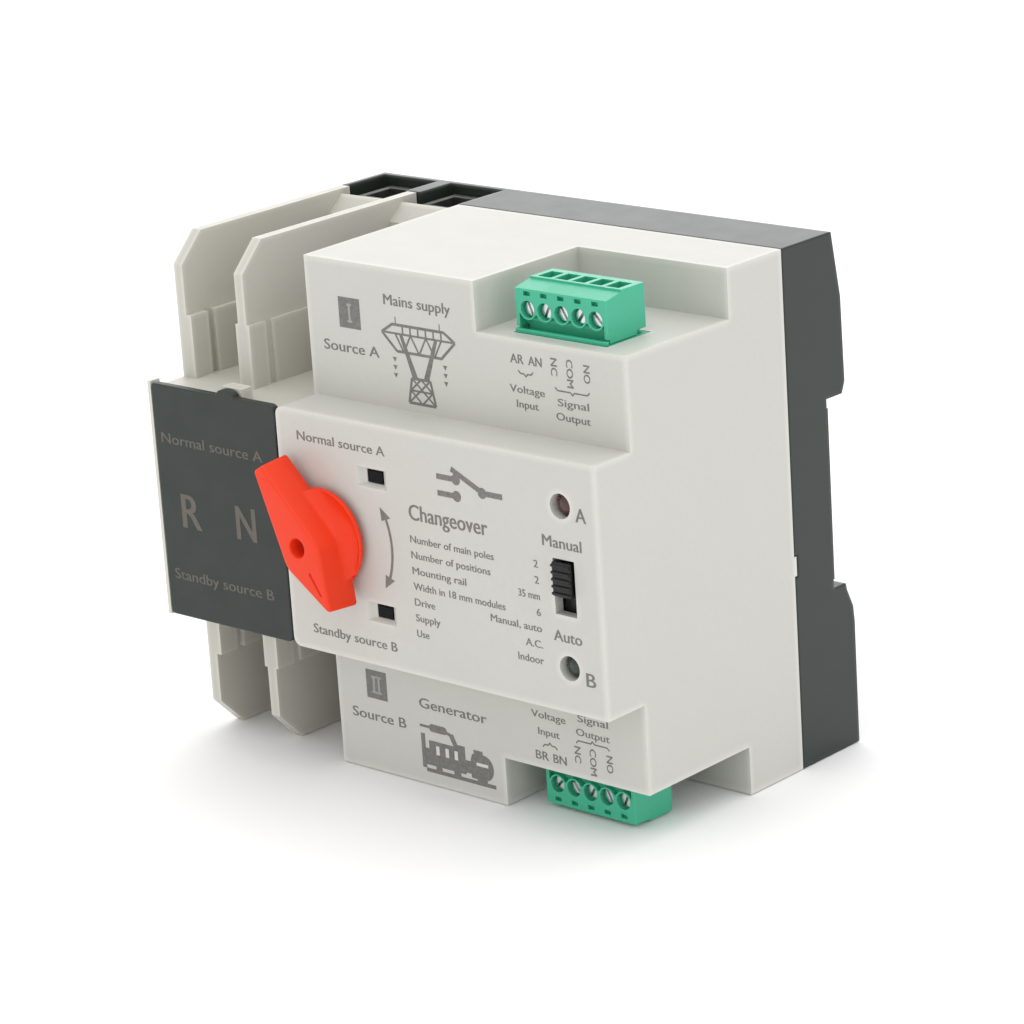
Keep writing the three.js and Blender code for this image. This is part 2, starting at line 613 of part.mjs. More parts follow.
// An indicator lamp on its spacer, a domed rod behind its hole in the nose.
function lamp(side) {
  const radius = 2.1;
  const profile = [new THREE.Vector2(0, 0)];
  const steps = 6;
  for (let i = 1; i <= steps; i += 1) {
    const turn = Math.PI / 2 * i / steps;
    profile.push(new THREE.Vector2(radius * Math.sin(turn), 1.3 * (1 - Math.cos(turn))));
  }
  const front = 0.7;
  const length = BOARD_FRONT - GAP - front;
  profile.push(new THREE.Vector2(radius, length), new THREE.Vector2(0, length));
  const geometry = new THREE.LatheGeometry(profile, 20);
  geometry.translate(LED_X, front, side * LED_Z);
  return solid(geometry);
}

const SLIDER_TRAVEL = 3.1;

function switchBody() {
  const body = box(LED_X - 3.6, LED_X + 3.6, 3.7, 9.6, -8.8, 8.8);
  const legs = box(LED_X - 2.4, LED_X + 2.4, 9, BOARD_FRONT - GAP, -7, 7);
  return body.add(legs).subtract(box(LED_X - 1.4, LED_X + 1.4, 3, 7.2, -4.4, 4.4));
}

function modeSlider() {
  const top = SLOT_HALF - 0.4;
  const bottom = top - 6.1;
  const parts = [
    box(LED_X - 2.05, LED_X + 2.05, -0.8, 2.6, bottom, top),
    box(LED_X - 3, LED_X + 3, WALL + 0.3, 3.4, -SLOT_HALF - 0.3, SLOT_HALF + SLIDER_TRAVEL + 0.3),
    box(LED_X - 1, LED_X + 1, 3.2, 6.4, 0, 3.8),
  ];
  for (let rib = 0; rib < 5; rib += 1) {
    const z = bottom + 0.3 + rib * 1.25;
    parts.push(box(LED_X - 2.05, LED_X + 2.05, -1.2, -0.7, z, z + 0.5));
  }
  return joined(parts);
}

// ---------------------------------------------------------------- plug-in control terminals

const poleAt = (position) => PLUG_X + position * PLUG_PITCH;

function header(side) {
  const shell = box(HEADER.left, HEADER.right, HEADER.front, HEADER.back,
    side * HEADER.bottom, side * HEADER.rim);
  const mouth = box(HEADER.left + 0.8, HEADER.right - 0.8, HEADER.front + 0.8, HEADER.back - 0.8,
    side * (HEADER.bottom + 1.2), side * (HEADER.rim + 1));
  const lowWalls = box(HEADER.left - 1, HEADER.right + 1, HEADER.front + 0.8, HEADER.back + 1,
    side * (POCKET_FLOOR + 0.05), side * (HEADER.rim + 1));
  const pins = POSITIONS.map((position) => box(poleAt(position) - 0.5, poleAt(position) + 0.5,
    18, 19, side * (HEADER.bottom + 0.5), side * 37.6));
  return joined([cut(shell, [mouth, lowWalls]), ...pins]);
}

// The recess across the lower front, out of which the rims of the screw holes stand.
function plugRecess(side) {
  const depth = 1.1;
  const rims = POSITIONS.map((position) => rodY(
    PLUG_RIM_R, poleAt(position), side * PLUG_SCREW_Z[side], PLUG_FRONT - 2, PLUG_FRONT + 2, 28));
  const band = box(PLUG_X - PLUG_HALF + 0.7, PLUG_X + PLUG_HALF - 0.7, PLUG_FRONT - 1, PLUG_FRONT + depth,
    side * (PLUG_BASE + 0.9), side * (PLUG_SCREW_Z[side] - 0.8));
  const gap = box(PLUG_X - PLUG_HALF + 0.7, PLUG_X + PLUG_HALF - 0.7, PLUG_FRONT - 1, PLUG_FRONT + 2,
    side * (PLUG_BASE - 1), side * (PLUG_BASE + 1));
  return cut(band, rims).add(gap);
}

function plug(side) {
  const step = 0.35;
  const profile = [
    [PLUG_FRONT, PLUG_BASE], [PLUG_FRONT, PLUG_FACE_TOP[side]], [17.5, PLUG_TOP - step], [17.5, PLUG_TOP],
    [PLUG_BACK, PLUG_TOP], [PLUG_BACK, PLUG_BASE],
  ].map(([y, z]) => [y, side * z]);
  const body = prismX(profile, PLUG_X - PLUG_HALF, PLUG_X + PLUG_HALF);
  const aprons = [-1, 1].map((end) => box(PLUG_X + end * PLUG_HALF, PLUG_X + end * (PLUG_HALF - 0.6),
    HEADER.front + 1.1, 21, side * (POCKET_FLOOR + 0.2), side * (PLUG_BASE + 1)));
  const stem = box(HEADER.left + 1.1, HEADER.right - 1.1, HEADER.front + 1.1, HEADER.back - 1.1,
    side * (HEADER.bottom + 2), side * (PLUG_BASE + 1));
  const holes = POSITIONS.flatMap((position) => {
    const x = poleAt(position);
    return [
      rodY(1.55, x, side * PLUG_SCREW_Z[side], PLUG_FRONT - 1, 18.9, 20),
      box(x - 1.45, x + 1.45, 18.2, 21.9, side * 41, side * (PLUG_TOP + 1)),
      box(x - 0.75, x + 0.75, PLUG_FRONT - 1, PLUG_FRONT + 0.8,
        side * (PLUG_SCREW_Z[side] + 2.4), side * (PLUG_SCREW_Z[side] + 3.2)),
      box(x - 0.8, x + 0.8, 17.7, 19.3, side * (HEADER.bottom + 1), side * 38.4),
    ];
  });
  return cut(joined([body, stem, ...aprons]), [plugRecess(side), ...holes]);
}

function plugScrew(position, side) {
  const x = poleAt(position);
  const z = side * PLUG_SCREW_Z[side];
  const turn = 70 * Math.sin(3 * position + side);
  const slot = box(-2, 2, -0.2, 0.7, -0.25, 0.25).rotate([0, turn, 0]).translate([x, 14.4, z]);
  return rodY(1.3, x, z, 14.4, 18.2, 20).subtract(slot);
}

function addPlug(name, side) {
  place(`header_${name}`, 'green', header(side));
  place(`plug_${name}`, 'green', plug(side));
  for (const position of POSITIONS) {
    place(`plug_screw_${name}_${position + 3}`, 'steel', plugScrew(position, side));
  }
}

function caseScrew([x, z]) {
  const head = rodY(2.8, x, z, 64.7, 66.3, 24);
  const shank = rodY(1.35, x, z, 44.5, 65, 16);
  const cross = [
    box(x - 1.6, x + 1.6, 65.5, 67, z - 0.35, z + 0.35),
    box(x - 0.35, x + 0.35, 65.5, 67, z - 1.6, z + 1.6),
  ];
  return cut(head.add(shank), cross);
}

// ---------------------------------------------------------------- the assembly

place('base', 'dark', base());
place('housing', 'ivory', housing());
place('pole_housing', 'ivory', poleHousing());
place('label_plate', 'plate', labelPlate());
place('rail_clip', 'black', railClip());
place('window_pane', 'smoked', windowPane());
place('knob', 'orange', knob());
place('knob_screw', 'steel', knobScrew());
place('drive_shaft', 'black', driveShaft());
place('bearing_plate', 'ivory', bearingPlate());
place('contact_carriage', 'black', contactCarriage());
place('solenoid_plunger', 'steel', plunger());
place('solenoid_coil_a', 'winding', coil(1));
place('solenoid_coil_b', 'winding', coil(-1));
place('solenoid_yoke', 'steel', yoke());
place('control_board', 'board', board());
place('control_relay', 'relay', relay());
place('lamp_a', 'ledRed', lamp(1));
place('lamp_b', 'ledGreen', lamp(-1));
place('mode_switch_body', 'black', switchBody());
place('mode_slider', 'black', modeSlider());
addPole('r');
addPole('n');
addPlug('top', 1);
addPlug('bottom', -1);
CASE_SCREWS.forEach((spot, index) => place(`case_screw_${index + 1}`, 'steel', caseScrew(spot)));

assembly.position.set(-WIDTH / 2, -(KNOB_FRONT + BACK) / 2, HALF_H);

export default assembly;
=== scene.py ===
import json
import math

import bmesh
import bpy
from mathutils import Matrix, Vector


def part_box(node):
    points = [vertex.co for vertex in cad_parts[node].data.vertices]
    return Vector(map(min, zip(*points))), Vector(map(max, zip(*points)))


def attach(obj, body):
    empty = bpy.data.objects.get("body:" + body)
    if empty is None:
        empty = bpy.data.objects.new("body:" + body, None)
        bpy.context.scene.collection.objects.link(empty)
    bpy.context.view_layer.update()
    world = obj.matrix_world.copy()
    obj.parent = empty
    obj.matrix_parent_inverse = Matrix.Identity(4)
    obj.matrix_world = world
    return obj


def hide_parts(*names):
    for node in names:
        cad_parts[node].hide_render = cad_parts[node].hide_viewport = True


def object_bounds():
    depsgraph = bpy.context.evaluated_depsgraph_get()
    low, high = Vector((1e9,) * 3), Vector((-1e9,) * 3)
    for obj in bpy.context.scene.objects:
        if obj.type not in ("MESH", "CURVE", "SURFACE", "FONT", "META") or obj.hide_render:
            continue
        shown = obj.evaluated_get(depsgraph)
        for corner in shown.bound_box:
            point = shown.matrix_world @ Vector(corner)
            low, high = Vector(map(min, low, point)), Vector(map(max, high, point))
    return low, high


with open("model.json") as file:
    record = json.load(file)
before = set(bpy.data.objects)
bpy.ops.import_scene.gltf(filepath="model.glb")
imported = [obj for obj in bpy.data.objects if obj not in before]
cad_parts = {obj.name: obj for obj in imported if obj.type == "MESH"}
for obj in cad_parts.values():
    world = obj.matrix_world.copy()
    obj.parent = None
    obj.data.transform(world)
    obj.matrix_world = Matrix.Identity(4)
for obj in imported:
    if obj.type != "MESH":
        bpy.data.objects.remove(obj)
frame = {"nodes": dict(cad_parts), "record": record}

CAD_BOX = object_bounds()
MM = 0.001

# Places are given in millimetres from three datums of the frame: x from the left side, y from the
# front face of the nose towards the rail, and z from mid-height. The label plate lies in the nose's face.
LEFT = CAD_BOX[0][0]
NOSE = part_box("label_plate")[0].y
MIDDLE = (CAD_BOX[0][2] + CAD_BOX[1][2]) / 2

# The printed faces, as y: the front of the nose, and that of the blocks above and below it.
NOSE_FACE = 0
BLOCK_FACE = 9.5


def at(x, y, z):
    """The point at a place given in millimetres from the datums."""
    return Vector((LEFT + x * MM, NOSE + y * MM, MIDDLE + z * MM))


# ------------------------------------------------------------------ colours, as sRGB bytes

IVORY = (198, 197, 191)
IVORY_WARM = (196, 194, 184)
DARK = (40, 47, 43)
ORANGE = (236, 56, 16)
GREEN = (58, 177, 141)
BLACK = (9, 9, 10)
STEEL = (222, 224, 226)
DULL_GREY = (112, 114, 112)
COPPER = (196, 120, 78)
RELAY_BLUE = (44, 82, 140)
LAMP_RED = (78, 32, 27)
LAMP_GREEN = (32, 52, 38)
# The window panes: smoked plastic, darkened to near black as painted shade for the hollow behind the
# windows.
SMOKE_AND_SHADE, SMOKE_AND_SHADE_PALE = (5, 5, 6), (10, 10, 11)
# The winding's darker colour is painted shade in the grooves between its turns.
WIRE_GAP_SHADE, WIRE = (92, 34, 14), (190, 92, 44)
BOARD, BOARD_PALE = (16, 76, 40), (34, 118, 62)
FLOOR, FLOOR_PALE = (248, 248, 248), (250, 250, 250)
INK = (104, 102, 98)
NUMERAL = (150, 150, 146)
PLATE_INK = (96, 90, 82)


def linear(colour):
    """An sRGB byte triple as linear RGBA."""
    channels = []
    for value in colour:
        c = value / 255
        channels.append(c / 12.92 if c <= 0.04045 else ((c + 0.055) / 1.055) ** 2.4)
    return (*channels, 1)


def shaded(colour, factor):
    """The colour made lighter or darker by a factor."""
    return tuple(max(0, min(255, c * factor)) for c in colour)


# ------------------------------------------------------------------ materials


class Nodes:
    """Builds one material's node tree."""

    def __init__(self, name):
        self.material = bpy.data.materials.new(name)
        self.material.use_nodes = True
        self.tree = self.material.node_tree
        self.shader = self.tree.nodes["Principled BSDF"]
        coordinates = self.tree.nodes.new("ShaderNodeTexCoord")
        self.where = coordinates.outputs["Object"]

    def new(self, kind, **values):
        """A node with some of its inputs or settings given by name."""
        node = self.tree.nodes.new(kind)
        for key, value in values.items():
            if key in node.inputs:
                node.inputs[key].default_value = value
            else:
                setattr(node, key, value)
        return node

    def link(self, out, into):
        """Links an output to an input."""
        self.tree.links.new(out, into)

    def noise(self, size_mm, detail=3.0, stretch=(1, 1, 1)):
        """Noise whose features are about size_mm across; stretch lengthens them along an axis."""
        mapping = self.new("ShaderNodeMapping")
        mapping.inputs["Scale"].default_value = [1 / s for s in stretch]
        self.link(self.where, mapping.inputs["Vector"])
        node = self.new("ShaderNodeTexNoise", Scale=1 / (size_mm * MM), Detail=detail)
        self.link(mapping.outputs["Vector"], node.inputs["Vector"])
        return node.outputs["Fac"]

    def between(self, value, low, high, start=0.3, end=0.7):
        """Maps start to end, where most of a noise's values lie, onto low to high."""
        node = self.new("ShaderNodeMapRange")
        node.inputs["From Min"].default_value = start
        node.inputs["From Max"].default_value = end
        node.inputs["To Min"].default_value = low
        node.inputs["To Max"].default_value = high
        self.link(value, node.inputs["Value"])
        return node.outputs["Result"]

    def mix(self, factor, first, second):
        """A colour between two, each a colour or an output."""
        node = self.new("ShaderNodeMix", data_type="RGBA")
        self.link(factor, node.inputs["Factor"])
        for colour, socket in ((first, node.inputs["A"]), (second, node.inputs["B"])):
            if isinstance(colour, tuple):
                socket.default_value = colour
            else:
                self.link(colour, socket)
        return node.outputs["Result"]

    def bump(self, height, depth_mm, strength=1.0, onto=None):
        """A normal for relief this deep, laid over another normal if one is given."""
        node = self.new("ShaderNodeBump", Strength=strength, Distance=depth_mm * MM)
        self.link(height, node.inputs["Height"])
        if onto is not None:
            self.link(onto, node.inputs["Normal"])
        return node.outputs["Normal"]

    def rounded(self, radius_mm):
        """A normal that turns smoothly round every edge, as if it had this radius."""
        return self.new("ShaderNodeBevel", Radius=radius_mm * MM, samples=8).outputs["Normal"]

    def corners(self, reach_mm):
        """0 on flats, rising to 1 at an outer corner, where a painted highlight is laid."""
        node = self.new("ShaderNodeAmbientOcclusion", Distance=reach_mm * MM, samples=6, inside=True,
                        only_local=True)
        return self.between(node.outputs["AO"], 1, 0, 0.5, 1.0)

    def set(self, **values):
        """Sets inputs of the shader, with _ for a space in their names."""
        for key, value in values.items():
            self.shader.inputs[key.replace("_", " ")].default_value = value

    def finish(self, colour, roughness=None, normal=None):
        """Links what has been built to the shader and gives back the material."""
        self.link(colour, self.shader.inputs["Base Color"])
        if roughness is not None:
            self.link(roughness, self.shader.inputs["Roughness"])
        if normal is not None:
            self.link(normal, self.shader.inputs["Normal"])
        return self.material


# Sizes of the faint marks in a moulding: its flow marks, its specks and its duller areas.
FLOW_MM = 18
SPECK_MM = 0.9
GLOSS_MM = 6
GRAIN_DEPTH_MM = 0.012
LIGHT_SPREAD = (1.0, 0.5, 0.3)  # of red, green and blue light inside soft plastic, as shares of its reach
LIGHT_REACH_MM = 0.6
# A painted highlight makes outer corners paler, in place of the light that rounded edges catch; this is its
# full share.
HIGHLIGHT_SHARE = 0.9  # of the paler colour at an outer corner
# Sizes of the marks in metal: its patches of colour, its dull areas and its scratches.
PATCH_MM = 2.2
DULLNESS_MM = 1.1
SCRATCH_MM = 0.12
SCRATCH_DEPTH_MM = 0.004


def moulded(name, colour, rough=(0.42, 0.56), grain_mm=0.22, edge_mm=0.6, highlight_gain=1.04, soft=0.0, ior=1.5,
            rounds=True):
    """Injection-moulded plastic with faint flow marks, a spark-eroded grain and a painted highlight on outer
    corners.

    edge_mm is how far the painted corner highlights reach and, if it rounds, the radius that edges seem to
    have.
    """
    n = Nodes(name)
    rounded = n.rounded(edge_mm) if rounds else None
    flow = n.mix(n.noise(FLOW_MM, 3), linear(shaded(colour, 0.99)), linear(shaded(colour, 1.01)))
    speck = n.mix(n.between(n.noise(SPECK_MM, 2), 0, 0.3), flow, linear(shaded(colour, 0.97)))
    # Painted highlight: outer corners are made paler, for the light that rounded edges catch.
    pale = n.between(n.corners(edge_mm), 0, HIGHLIGHT_SHARE, 0, 1)
    highlit = n.mix(pale, speck, linear(shaded(colour, highlight_gain)))
    roughness = n.between(n.noise(GLOSS_MM, 5), *rough)
    grain = n.bump(n.noise(grain_mm, 2), GRAIN_DEPTH_MM, 0.4, rounded)
    n.set(IOR=ior)
    if soft:
        n.set(Subsurface_Weight=soft, Subsurface_Radius=LIGHT_SPREAD, Subsurface_Scale=LIGHT_REACH_MM * MM)
    return n.finish(highlit, roughness, grain)


def metal(name, colour, rough, brushed=(1, 1, 1)):
    """Plated sheet or turned metal with fine scratches and dull patches."""
    n = Nodes(name)
    patches = n.mix(n.noise(PATCH_MM, 4), linear(shaded(colour, 0.86)), linear(shaded(colour, 1.04)))
    scratches = n.bump(n.noise(SCRATCH_MM, 2, brushed), SCRATCH_DEPTH_MM, 0.6)
    n.set(Metallic=1.0)
    return n.finish(patches, n.between(n.noise(DULLNESS_MM, 4), *rough), scratches)


def ink(name, colour, ground):
    """Pad-printed ink, thin enough for a little of the ground to show through."""
    n = Nodes(name)
    thin = n.between(n.noise(0.5, 3), 0.0, 0.14)
    return n.finish(n.mix(thin, linear(colour), linear(ground)), n.between(n.noise(0.8, 2), 0.5, 0.65))


def smoked(name):
    """Glossy smoked plastic of the position windows, darkened to near black as painted shade for the hollow
    behind them.
    """
    n = Nodes(name)
    n.set(IOR=1.2)
    colour = n.mix(n.noise(3, 2), linear(SMOKE_AND_SHADE), linear(SMOKE_AND_SHADE_PALE))
    return n.finish(colour, n.between(n.noise(2, 3), 0.1, 0.25))


def lamp(name, colour):
    """A lamp that is off: a clear tinted dome with a clouded core."""
    n = Nodes(name)
    cloud = n.mix(n.between(n.noise(1.6, 2), 0, 1), linear(colour), linear(shaded(colour, 0.6)))
    n.set(Coat_Weight=0.3, Coat_Roughness=0.1)
    return n.finish(cloud, n.between(n.noise(0.6, 2), 0.15, 0.3))


RING_MM = 1.6
TRACK_MM = 9


def winding(name):
    """Enamelled wire laid in rings along the coil, with painted shade in the grooves between the turns."""
    n = Nodes(name)
    turns = n.new("ShaderNodeTexWave", bands_direction="Z", Scale=1 / (RING_MM * MM), Distortion=0.4)
    n.link(n.where, turns.inputs["Vector"])
    colour = n.mix(turns.outputs["Fac"], linear(WIRE_GAP_SHADE), linear(WIRE))
    n.set(Metallic=0.8)
    return n.finish(colour, n.between(n.noise(0.8, 2), 0.25, 0.4), n.bump(turns.outputs["Fac"], 0.12, 0.8))


def circuit(name):
    """Solder mask over rectangular copper areas."""
    n = Nodes(name)
    tracks = n.new("ShaderNodeTexBrick", Scale=1 / (TRACK_MM * MM))
    for socket, value in (("Color1", 0.2), ("Color2", 0.6), ("Mortar", 1.0)):
        tracks.inputs[socket].default_value = (value, value, value, 1)
    n.link(n.where, tracks.inputs["Vector"])
    colour = n.mix(tracks.outputs["Color"], linear(BOARD), linear(BOARD_PALE))
    return n.finish(colour, n.between(n.noise(1.5, 3), 0.3, 0.5), n.bump(tracks.outputs["Fac"], 0.03))


# In each moulding below, the paler outer corners are a painted highlight.
MATERIALS = {
    "ivory_plastic": moulded("ivory_plastic", IVORY, (0.46, 0.52), edge_mm=1.3, highlight_gain=1.08, ior=1.45,
                             rounds=False),
    "dark_plastic": moulded("dark_plastic", DARK, (0.33, 0.37), grain_mm=0.3, edge_mm=0.9, highlight_gain=1.15,
                            ior=1.42),
    "plate_plastic": moulded("plate_plastic", DARK, (0.4, 0.52), grain_mm=0.2, edge_mm=0.4, highlight_gain=1.25,
                             ior=1.42),
    "knob_plastic": moulded("knob_plastic", ORANGE, (0.4, 0.54), grain_mm=0.25, edge_mm=0.35, highlight_gain=1.02,
                            soft=0.08, ior=1.4),
    "green_plastic": moulded("green_plastic", GREEN, (0.3, 0.42), grain_mm=0.3, edge_mm=0.2, highlight_gain=1.12,
                             soft=0.08),
    "black_plastic": moulded("black_plastic", BLACK, (0.24, 0.34), grain_mm=0.2, edge_mm=0.3, highlight_gain=2.2,
                             ior=1.42),
    "smoked_plastic": smoked("smoked_plastic"),
    "steel": metal("steel", STEEL, (0.16, 0.3)),
    "copper": metal("copper", COPPER, (0.22, 0.4), brushed=(1, 1, 6)),
    "winding": winding("winding"),
    "board": circuit("board"),
    "relay_case": moulded("relay_case", RELAY_BLUE, (0.2, 0.34), grain_mm=0.4, edge_mm=0.3, highlight_gain=1.1),
    "lamp_red": lamp("lamp_red", LAMP_RED),
    "lamp_green": lamp("lamp_green", LAMP_GREEN),
}
# Its paler outer corners are a painted highlight too.
POLE_PLASTIC = moulded("pole_plastic", IVORY_WARM, edge_mm=1.0, highlight_gain=1.08, rounds=False)
DULL_STEEL = metal("dull_steel", DULL_GREY, (0.42, 0.55))
INK_GREY = ink("ink_grey", INK, IVORY)
INK_PALE = ink("ink_pale", NUMERAL, IVORY)
INK_PLATE = ink("ink_plate", PLATE_INK, DARK)


# ------------------------------------------------------------------ mesh tools


def add_object(name, mesh, material=None):
    """Puts a mesh into the scene."""
    thing = bpy.data.objects.new(name, mesh)
    bpy.context.scene.collection.objects.link(thing)
    if material is not None:
        mesh.materials.append(material)
    return thing


def bake_modifiers(thing):
    """Replaces the piece's mesh by what its modifiers make of it."""
    graph = bpy.context.evaluated_depsgraph_get()
    mesh = bpy.data.meshes.new_from_object(thing.evaluated_get(graph))
    thing.modifiers.clear()
    old = thing.data
    thing.data = mesh
    if isinstance(old, bpy.types.Mesh):
        bpy.data.meshes.remove(old)
    return thing


def smooth(thing, degrees):
    """Smooth shading, broken where faces meet at more than this angle."""
    thing.data.shade_smooth()
    thing.data.set_sharp_from_angle(angle=math.radians(degrees))


def combine(thing, cutters, operation, overlapping=False):
    """A boolean with each cutter in turn, after which the cutters are gone."""
    for cutter in cutters:
        modifier = thing.modifiers.new("combine", "BOOLEAN")
        modifier.object = cutter
        modifier.operation = operation
        modifier.solver = "EXACT"
        modifier.use_self = overlapping
        bake_modifiers(thing)
        mesh = cutter.data
        bpy.data.objects.remove(cutter)
        bpy.data.meshes.remove(mesh)
    return thing


def bevel(thing, width_mm):
    """Rounds the edges where faces meet at more than SHARP_DEGREES."""
    modifier = thing.modifiers.new("edges", "BEVEL")
    modifier.width = width_mm * MM
    modifier.segments = 3
    modifier.limit_method = "ANGLE"
    modifier.angle_limit = math.radians(SHARP_DEGREES)
    modifier.harden_normals = True


def rings_to_mesh(name, rings):
    """A closed solid through rings of points, each ring anticlockwise seen from the first."""
    form = bmesh.new()
    loops = [[form.verts.new(p) for p in ring] for ring in rings]
    form.faces.new(loops[0])
    form.faces.new(list(reversed(loops[-1])))
    for first, second in zip(loops, loops[1:]):
        for i in range(len(first)):
            j = (i + 1) % len(first)
            form.faces.new((first[j], first[i], second[i], second[j]))
    bmesh.ops.recalc_face_normals(form, faces=form.faces)
    mesh = bpy.data.meshes.new(name)
    form.to_mesh(mesh)
    form.free()
    return mesh


def add_ringed(name, rings):
    """The closed solid through the rings, in the scene."""
    return add_object(name, rings_to_mesh(name, rings))


def turned(name, profile, middle, axis, sides):
    """A solid of revolution from (radius, distance along axis) points in millimetres."""
    turn = Vector((0, 0, 1)).rotation_difference(Vector(axis)).to_matrix()
    rings = []
    for radius, along in profile:
        ring = []
        for i in range(sides):
            angle = 2 * math.pi * i / sides
            point = Vector((radius * math.cos(angle), radius * math.sin(angle), along)) * MM
            ring.append(middle + turn @ point)
        rings.append(ring)
    return add_ringed(name, rings)


def ride_as(thing, body, slot, *replaced):
    """Gives a piece its material and its body, and hides the CAD nodes that it stands for."""
    thing.data.materials.clear()
    thing.data.materials.append(MATERIALS[slot])
    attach(thing, body)
    if replaced:
        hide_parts(*replaced)


# ------------------------------------------------------------------ carried-over CAD nodes

# These three get no bevel: the base's edges have rounded shading, and all three have a painted highlight on
# their outer corners.
SHADED_ONLY = ("base", "housing", "pole_housing")  # their edges are softened by the material alone
EDGE_MM = {
    "label_plate": 0.35, "rail_clip": 0.3,
    "plug_top": 0.2, "plug_bottom": 0.2, "header_top": 0.2, "header_bottom": 0.2,
}
SMALL_EDGE_MM = 0.15
SHARP_DEGREES = 30
FLAT_DEGREES = 0.5
WELD_MM = 0.002
OWN_MATERIALS = {"pole_housing": POLE_PLASTIC, "clamp_load_r": DULL_STEEL, "clamp_load_n": DULL_STEEL}


def dress_cad_nodes():
    """Gives each CAD node its material, welded faces and the small radii of a moulded or cut part."""
    slots = {row["node"]: row["material_slot"] for row in frame["record"]["subparts"]}
    for name, node in frame["nodes"].items():
        node.data.materials.clear()
        node.data.materials.append(OWN_MATERIALS.get(name, MATERIALS[slots[name]]))
        weld = node.modifiers.new("weld", "WELD")
        weld.merge_threshold = WELD_MM * MM
        flat = node.modifiers.new("flat_faces", "DECIMATE")
        flat.decimate_type = "DISSOLVE"
        flat.angle_limit = math.radians(FLAT_DEGREES)
        if name not in SHADED_ONLY:
            bevel(node, EDGE_MM.get(name, SMALL_EDGE_MM))


# ------------------------------------------------------------------ the knob

KNOB_AXIS_X = 44.6
KNOB_FRONT = -8.3
KNOB_POINTS = -57.5  # degrees from +x at rest
GRIP_TIP = 12.7
GRIP_TAIL = 15.9
GRIP_BACK = -1.7
GRIP_EDGE = 0.55  # radius of the grip's front edge
EDGE_STEPS = 4
DISC_R = 9.3
DISC_BACK = -1
RIM_R = 9.1  # centre of the disc's rounded rim, and its radius
RIM_ROUND = 0.2
HUB_R = 5.9
HUB_BACK = 6
FOOT_R = 9.2
HOLE_R = 1.75
SHANK_R = 1.25
SEAT = -3.1  # where the screw's head sits
ON_AXIS = 0.01  # a turned profile starts and ends this close to its axis
# How far the grip's outline has grown at each y, as its foot flares out into the disc.
FOOT_FLARE = ((0.05, -4.8), (0.4, -3.5), (0.9, -2.7), (1.7, -2.15), (2.8, -1.75), (4.2, -1.45), (6, -1.22))


def arc(middle, radius, start, stop, steps):
    """Points along a circle, with the angles in degrees."""
    points = []
    for i in range(steps + 1):
        angle = math.radians(start + (stop - start) * i / steps)
        points.append((middle[0] + radius * math.cos(angle), middle[1] + radius * math.sin(angle)))
    return points


def grip_half(grow):
    """One side of the grip's outline, from its tip to its tail, as (along, across)."""
    tip = GRIP_TIP + grow
    tail = -GRIP_TAIL - grow
    tip_r = 0.45
    tail_r = 0.5
    half_tail = 1.3 + 0.8 * grow
    shoulder_r = 4.2
    shoulder = 4.75 + grow
    points = arc((tip - tip_r, 0), tip_r, 18, 66, 3)
    points += arc((1.5, shoulder - shoulder_r), shoulder_r, 68, 105, 7)
    points += arc((tail + tail_r, half_tail - tail_r), tail_r, 104, 180, 4)
    return points


def turned_ring(outline, y):
    """A ring of (along, across) points in the knob's own directions."""
    turn = math.radians(KNOB_POINTS)
    return [at(KNOB_AXIS_X + u * math.cos(turn) - v * math.sin(turn), y,
               u * math.sin(turn) + v * math.cos(turn)) for u, v in outline]


def grip_rings(steps):
    """The grip's whole outline, grown by so much at each y."""
    rings = []
    for grow, y in steps:
        upper = grip_half(grow)
        rings.append(turned_ring(upper + [(u, -v) for u, v in reversed(upper)], y))
    return rings


def mark_ring(y):
    """The engraved pointer mark: a slot with round ends."""
    return turned_ring(arc((9.4, 0), 0.2, -90, 90, 4) + arc((5.2, 0), 0.32, 90, 270, 4), y)


def socket_ring(y):
    """The square socket for the drive shaft."""
    half = 2.8
    return turned_ring([(-half, -half), (half, -half), (half, half), (-half, half)], y)


def about_knob(name, profile, sides=96):
    """A turned solid about the knob's axis, from (radius, y) points."""
    flipped = [(radius, -y) for radius, y in profile]
    return turned(name, flipped, at(KNOB_AXIS_X, 0, 0), (0, -1, 0), sides)


